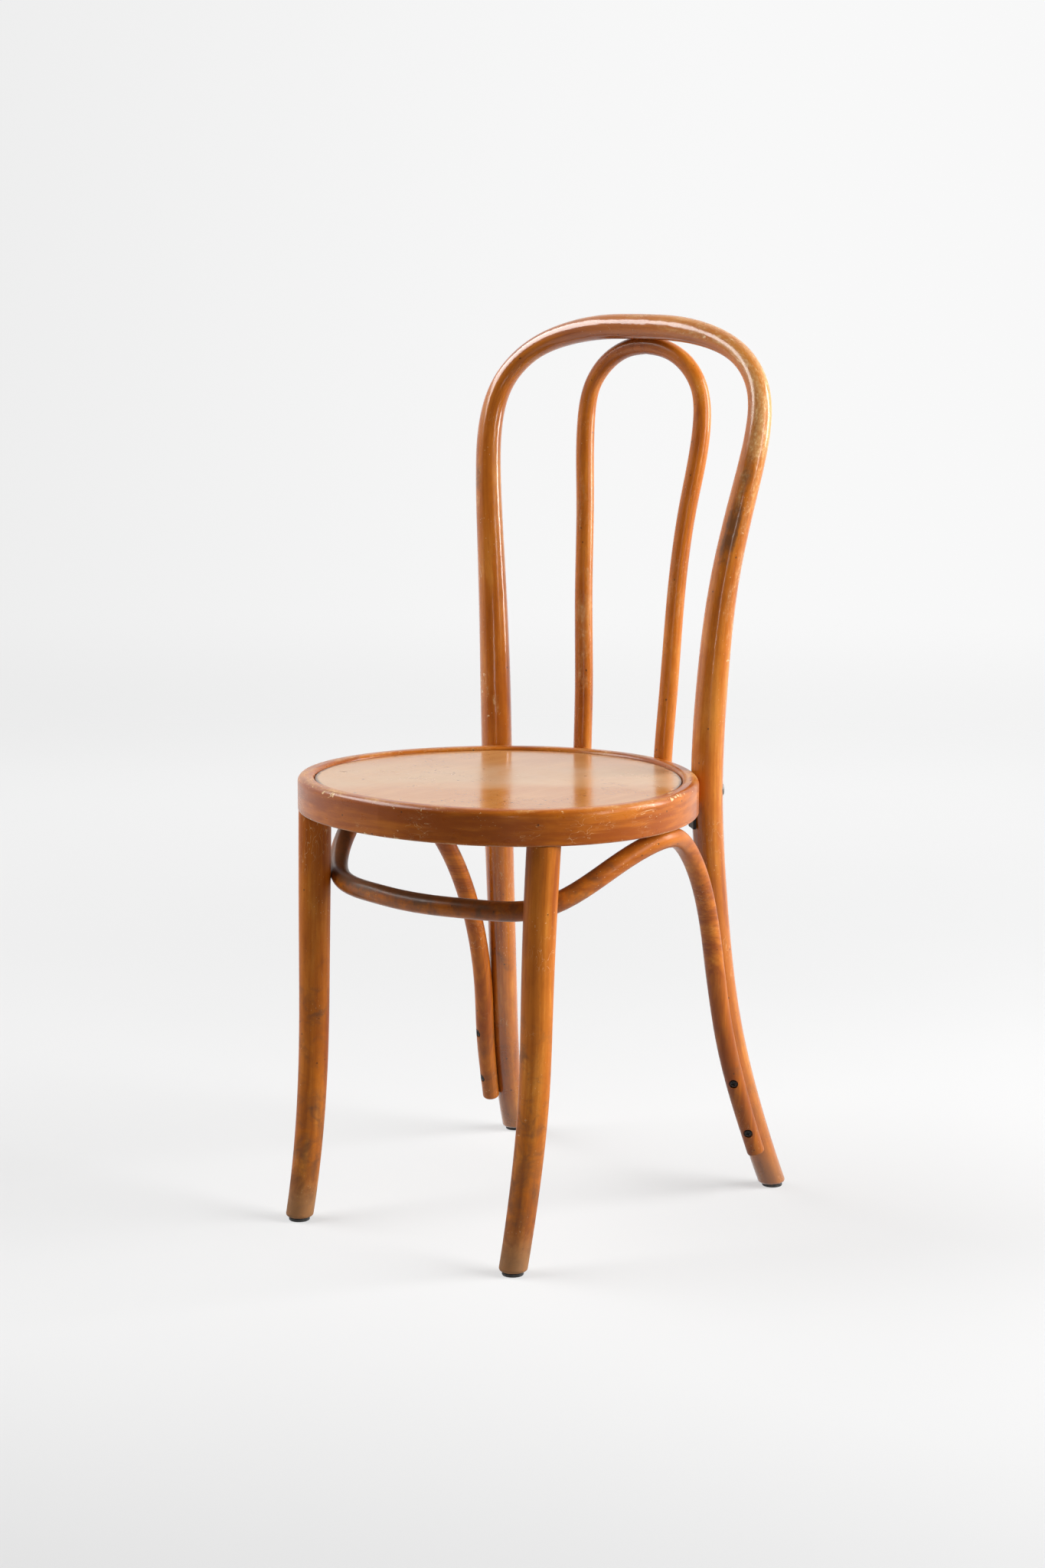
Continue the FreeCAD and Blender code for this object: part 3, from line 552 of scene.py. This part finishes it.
def varnished(name, place, amber, gloss, worn, coat=0.0, specular=0.5, low_dirt=0.0, top_shade_strength=0.0,
              rubs=None, stains_and_shade=None, chipped=None, edge=None):
    """Bent beech under amber varnish: streaks, colour drift, rubbed places, chips, scratches and dirt, with
    painted shade on faces that look up and in the dark smudges where asked.
    """
    made, net = material(name)
    at = place(net)
    streak = grain(net, at, "streak")
    colour = wood_colour(net, at, amber, streak)

    patchy = grain(net, at, "patchy")
    rubbed = net.times(net.step(patchy, 0.64, 0.80), worn)
    chip_area = net.step(grain(net, at, "chip_area"), 0.52, 0.72)
    need = net.minus(0.800, net.times(chip_area, 0.085 + 0.06 * worn))
    if chipped:
        need = net.minus(need, net.times(chipped(net, at), 0.145))
    if edge:
        need = net.minus(need, net.times(edge(net, at), 0.150))
    if rubs:
        mask = rubs(net, at)
        torn = net.step(net.plus(net.times(patchy, 1.2), net.times(mask, 0.40)), 0.72, 1.16)
        rubbed = net.most(rubbed, net.times(torn, net.step(mask, 0.02, 0.30)))
        need = net.minus(need, net.times(mask, 0.060))
    speckle = grain(net, at, "speckle")
    colour = net.blend(net.times(rubbed, net.step(speckle, 0.36, 0.62, 0.38, 0.92)), colour, WORN)
    colour = net.blend(net.times(rubbed, net.step(speckle, 0.56, 0.68, 0.0, 0.75)), colour, PALE)
    chips = net.step(net.minus(grain(net, at, "chip"), need), 0.0, 0.022)
    colour = net.blend(net.times(chips, 0.85), colour, PALE)
    colour, scratch = small_marks(net, at, colour)

    rough = net.plus(gloss - 0.06, net.times(grain(net, at, "haze"), 0.14))
    rough = net.plus(rough, net.times(rubbed, 0.16))
    rough = net.plus(rough, net.times(chips, 0.3))
    # A mottled noise, for dirt and for the painted shade.
    soot_and_shade = grain(net, at, "soot_and_shade")
    # Dark smudges: dirt on the hoop and legs, painted shade on the brace.
    if stains_and_shade:
        smudge_and_shade = net.plus(net.times(soot_and_shade, 0.9), net.times(stains_and_shade(net, at), 0.42))
        colour = net.blend(net.step(smudge_and_shade, 0.62, 0.98, 0.0, 0.80), colour, DIRT_AND_SHADE)
    # Painted shade on what faces up.
    if top_shade_strength:
        colour = net.blend(paint_top_shade(net, at, soot_and_shade, top_shade_strength), colour, PAINTED_TOP_SHADE)
    if low_dirt:
        reach = net.step(at["z"], 0.02, 0.33, 0.30, -0.16)
        grimy = net.times(net.step(net.plus(soot_and_shade, reach), 0.50, 1.00), low_dirt)
        colour = net.blend(net.times(grimy, 0.85), colour, GRIME)
        foot = net.step(net.plus(at["z"], net.swing(soot_and_shade, 0.05)), 0.014, 0.050, 0.60, 0.0)
        colour = net.blend(net.times(foot, low_dirt), colour, FOOT)
        rough = net.plus(rough, net.times(grimy, 0.22))

    height = net.plus(grain(net, at, "ripple"), net.times(streak, 0.05))
    height = net.plus(height, net.times(grain(net, at, "uneven"), 0.22))
    height = net.minus(height, net.times(chips, 0.12))
    height = net.minus(height, net.times(scratch, 0.05))
    normal = net.relief(height, 0.6, 0.0012)
    shader = net.finish_with(colour, rough, normal)
    shader["IOR"].default_value = IOR
    shader["Specular IOR Level"].default_value = specular
    shader["Coat Weight"].default_value = coat
    shader["Coat Roughness"].default_value = COAT_ROUGHNESS
    shader["Coat IOR"].default_value = IOR
    net.put(shader["Coat Normal"], normal)
    return made


# Where the wear sits. Rows of five are place s, reach, angle, spread and strength, and rows of three are place s,
# reach and strength.

SHOULDER_RUBS = [
    (0.16, 0.22, 62.0, 105.0, 1.0),
    (0.34, 0.18, 92.0, 62.0, 0.62),
    (0.08, 0.10, 50.0, 100.0, 0.90),
]
STILE_RUBS = [
    (-0.24, 0.17, 40.0, 55.0, 0.50),
    (-0.50, 0.05, 12.0, 40.0, 0.55),
    (-0.508, 0.026, -38.0, 17.0, 0.85),
]
HOOP_SMEARS = [
    (0.303, 0.074, 16.0, 44.0, 1.18),
    (0.250, 0.070, 27.0, 36.0, 0.62),
    (0.37, 0.05, 22.0, 40.0, 0.45),
    (-0.265, 0.035, 24.0, 40.0, 0.8),
]
HOOP_SMEAR_ZONES = [(0.72, 0.12, 0.35), (-0.80, 0.10, 0.45)]
HOOP_CHIPS = [
    (0.430, 0.034, 100.0, 48.0, 1.15),
    (0.495, 0.018, -26.0, 42.0, 1.0),
    (0.100, 0.008, -6.0, 20.0, 1.6),
    (0.215, 0.050, 50.0, 60.0, 0.75),
    (0.300, 0.030, 60.0, 40.0, 0.7),
    (-0.482, 0.036, 17.0, 32.0, 1.35),
    (-0.516, 0.022, -8.0, 16.0, 1.5),
    (-0.131, 0.009, -24.0, 17.0, 1.3),
    (-0.235, 0.008, 8.0, 30.0, 1.2),
]
INNER_CHIPS = [(-0.11, 0.02, 0.5), (0.11, 0.03, 0.4), (0.30, 0.04, 0.3)]
INNER_RUBS = [(-0.42, 0.12, 0.55), (-0.28, 0.08, 0.35), (0.40, 0.12, 0.30)]
LEG_CHIPS = [
    (0.435, 0.016, 0.9), (0.343, 0.016, 0.9), (0.540, 0.014, 0.8), (0.700, 0.014, 0.7),
    (-0.560, 0.020, 0.6), (-0.320, 0.025, 0.9),
]
RING_LOW_CHIPS = [(-0.300, 0.018, 1.15), (-0.340, 0.022, 0.8)]
RING_HIGH_CHIPS = [(-0.398, 0.022, 0.5), (0.020, 0.045, 0.5)]


def hoop_rubs(net, at):
    """The shoulder on the +X side is rubbed to bare wood, and the crown along its ridge."""
    ridge = net.times(net.step(at["u"], 0.004, 0.012), net.step(at["turn"], 0.02, 0.30, 0.0, 0.55))
    ridge = net.times(ridge, net.step(at["x"], -0.13, 0.03, 0.45, 1.0))
    return strongest(net, [patches(net, at, SHOULDER_RUBS), ridge, patches(net, at, STILE_RUBS)])


def hoop_stains(net, at):
    return net.most(patches(net, at, HOOP_SMEARS), zones(net, at, HOOP_SMEAR_ZONES))


def hoop_chips(net, at):
    return patches(net, at, HOOP_CHIPS)


def inner_chips(net, at):
    return zones(net, at, INNER_CHIPS)


def inner_rubs(net, at):
    return net.times(zones(net, at, INNER_RUBS), net.step(at["v"], -0.006, 0.004, 1.0, 0.3))


def leg_stains(net, at):
    return net.times(net.peak(at["z"], 0.20, 0.16), 0.55)


def leg_chips(net, at):
    return zones(net, at, LEG_CHIPS)


def ring_edge(net, at):
    """Chips along the top of the bead and the lower edge of the wall."""
    top = net.peak(at["z"], 0.4565, 0.0055)
    foot = net.step(at["z"], 0.4250, 0.4290, 0.8, 0.0)
    return net.times(net.most(top, foot), net.step(at["u"], -0.020, -0.008, 0.3, 1.0))


def ring_chips(net, at):
    low = net.times(zones(net, at, RING_LOW_CHIPS), net.step(at["z"], 0.436, 0.446, 1.0, 0.0))
    high = net.times(zones(net, at, RING_HIGH_CHIPS), net.step(at["z"], 0.444, 0.452))
    return net.most(low, high)


def ring_rubs(net, at):
    return net.most(net.step(at["z"], 0.4545, 0.4598, 0.0, 0.56), net.step(at["z"], 0.4248, 0.4275, 0.7, 0.0))


# Painted shade on the front of the brace under the seat, and darker towards the bottom.
def brace_front_shade(net, at):
    return net.most(net.step(at["y"], -0.13, -0.02, 0.75, 0.0), net.step(at["z"], 0.10, 0.20, 0.45, 0.0))


def dress(made, *names):
    for name in names:
        slots = node[name].data.materials
        for number in range(len(slots)):
            slots[number] = made
        if not len(slots):
            slots.append(made)


dress(varnished("hoop_varnish", hoop_place, amber=0.50, gloss=0.19, worn=0.45, coat=0.45, low_dirt=0.45,
                rubs=hoop_rubs, stains_and_shade=hoop_stains, chipped=hoop_chips), "back_hoop")
dress(varnished("inner_varnish", inner_place, amber=0.55, gloss=0.25, worn=0.35, coat=0.15,
                rubs=inner_rubs, chipped=inner_chips), "inner_hoop")
dress(varnished("ring_varnish", ring_place, amber=0.88, gloss=0.28, worn=0.25, coat=0.15, specular=0.3,
                rubs=ring_rubs, chipped=ring_chips, edge=ring_edge), "seat_ring")
dress(varnished("leg_varnish", leg_place, amber=0.58, gloss=0.38, worn=0.30, specular=0.2, low_dirt=1.0,
                stains_and_shade=leg_stains, chipped=leg_chips), "front_leg_left", "front_leg_right")
# The brace gets painted shade on its top and on its front under the seat.
dress(varnished("brace_varnish", brace_place, amber=0.75, gloss=0.32, worn=0.40, specular=0.3,
                low_dirt=0.4, top_shade_strength=0.80, stains_and_shade=brace_front_shade), "leg_brace")

# Seat panel.

PANEL_RADIUS = SEAT_RADIUS - 0.0175
PANEL_SWELL_SIDES = 0.018
PANEL_SWELL_FRONT = 0.024
PANEL_LIGHT = rgb(0.600, 0.290, 0.090)
PANEL_BROWN = rgb(0.470, 0.190, 0.044)
# Colour of the painted reflection on the panel.
PANEL_REFLECTION = rgb(0.570, 0.405, 0.255)
PANEL_DOT = rgb(0.05, 0.02, 0.008)
PANEL_RIM = rgb(0.055, 0.020, 0.008)


def panel_rim(net, x, deep):
    """Distance from the edge of the panel, which is a little pear-shaped."""
    out = net.hypot(x, deep)
    cosine = net.math("DIVIDE", net.times(deep, -1.0), net.most(out, 0.001))
    square = net.times(cosine, cosine)
    double = net.minus(net.times(square, 2.0), 1.0)
    triple = net.times(cosine, net.minus(net.times(square, 4.0), 3.0))
    swell = net.minus(1.0, net.times(double, PANEL_SWELL_SIDES))
    swell = net.minus(swell, net.times(triple, PANEL_SWELL_FRONT))
    return net.minus(net.times(swell, PANEL_RADIUS), out)


def panel_material(name):
    """Veneer under a hard gloss: faint straight grain, a pale band of painted reflection, scuffs, dark scratches
    and spots, darker at the rim.
    """
    made, net = material(name)
    spot = net.spot()
    x, y, z = net.parts(spot)
    deep = net.minus(y, SEAT_MIDDLE)

    def flat(across, along, lift=0.0):
        return net.vector(net.times(x, across), net.times(y, along), lift)

    veneer = net.noise(flat(260.0, 9.0), 1.0, 4.0, 0.6)
    figure = net.noise(flat(34.0, 4.0, 2.0), 1.0, 3.0, 0.55, 0.6)
    cloud = net.noise(spot, 11.0, 4.0, 0.6, 0.4)
    tone = net.plus(net.swing(veneer, 0.5), net.swing(figure, 0.8))
    tone = net.plus(net.plus(tone, net.swing(cloud, 0.9)), 0.52)
    colour = net.blend(net.step(tone, 0.0, 0.70), PANEL_LIGHT, PANEL_BROWN)
    colour = net.blend(net.step(tone, 0.55, 1.15), colour, HONEY)

    # Painted reflection: a pale hazy band across the panel, laid square to the view. The band is also a little
    # rougher.
    ahead = net.plus(net.times(x, math.sin(YAW)), net.times(deep, -math.cos(YAW)))
    ahead = net.plus(ahead, net.swing(net.noise(spot, 13.0, 4.0, 0.6), 0.075))
    painted_reflection = net.times(net.step(ahead, 0.022, 0.078, 1.0, 0.0), net.step(ahead, -0.13, -0.03, 0.25, 1.0))
    painted_reflection = net.times(painted_reflection, net.step(cloud, 0.30, 0.60, 0.55, 1.0))
    colour = net.blend(net.times(painted_reflection, 0.66), colour, PANEL_REFLECTION)

    scuffs = net.times(net.step(net.noise(flat(46.0, 90.0), 1.0, 5.0, 0.7, 0.8), 0.60, 0.70),
                       net.step(net.noise(spot, 9.0, 2.0, 0.5), 0.48, 0.62))
    colour = net.blend(net.times(scuffs, 0.50), colour, DARK)
    thread = net.math("ABSOLUTE", net.minus(net.noise(flat(38.0, 80.0, 4.0), 1.0, 1.0, 0.4, 1.6), 0.5))
    lines = net.times(net.step(thread, 0.003, 0.010, 1.0, 0.0),
                      net.step(net.noise(spot, 14.0, 2.0, 0.5), 0.50, 0.60))
    colour = net.blend(net.times(lines, 0.85), colour, DARK)
    marks = net.cells(flat(34.0, 34.0))
    colour = net.blend(net.step(marks, 0.035, 0.075, 0.85, 0.0), colour, PANEL_DOT)
    # Darker towards the edge of the panel.
    rim_dark = net.plus(panel_rim(net, x, deep), net.swing(net.noise(spot, 120.0, 3.0, 0.6), 0.004))
    colour = net.blend(net.step(rim_dark, 0.0005, 0.0045, 0.92, 0.0), colour, PANEL_RIM)

    rough = net.plus(0.10, net.times(net.noise(spot, 16.0, 5.0, 0.65, 0.3), 0.12))
    rough = net.plus(rough, net.times(scuffs, 0.18))
    rough = net.plus(rough, net.times(painted_reflection, 0.10))
    height = net.plus(net.times(net.noise(spot, 26.0, 2.0, 0.5), 0.16), net.times(veneer, 0.010))
    height = net.minus(height, net.times(lines, 0.03))
    shader = net.finish_with(colour, rough, net.relief(height, 0.5, 0.001))
    shader["IOR"].default_value = IOR
    return made


dress(panel_material("panel_varnish"), "seat_panel")

# Fixings and glides.

GRIT_HEIGHT = 0.0003


def metal(name, colour, rough, rust):
    made, net = material(name)
    spot = net.spot()
    grit = net.noise(spot, 900.0, 3.0, 0.6)
    rusty = net.step(net.noise(spot, 240.0, 4.0, 0.6), 0.45, 0.65, 0.0, 0.8)
    shader = net.finish_with(net.blend(rusty, colour, rust), net.plus(rough, net.times(grit, 0.25)),
                             net.relief(grit, 0.4, GRIT_HEIGHT))
    shader["Metallic"].default_value = 0.85
    return made


def rubber(name, colour, scuffed):
    made, net = material(name)
    scuff = net.noise(net.spot(), 300.0, 4.0, 0.65)
    net.finish_with(net.blend(net.step(scuff, 0.45, 0.75), colour, scuffed),
                    net.step(scuff, 0.3, 0.7, 0.42, 0.7), net.relief(scuff, 0.5, GRIT_HEIGHT))
    return made


black_screw = metal("black_screw", rgb(0.035, 0.033, 0.032), 0.40, rgb(0.050, 0.030, 0.020))
bolt_steel = metal("bolt_steel", rgb(0.30, 0.29, 0.27), 0.35, rgb(0.12, 0.07, 0.045))
glide_black = rubber("glide_black", rgb(0.018, 0.017, 0.016), rgb(0.09, 0.085, 0.08))
dress(black_screw, "brace_end_screws", "brace_leg_screws", "brace_top_screws", "crown_screws",
      "inner_hoop_screws", "bracket_screws", "corner_bracket_left", "corner_bracket_right")
dress(bolt_steel, "rear_leg_bolts", "bolt_washers", "bolt_nuts", "glide_nails")
dress(glide_black, "glide_front_left", "glide_front_right", "glide_rear_left", "glide_rear_right")
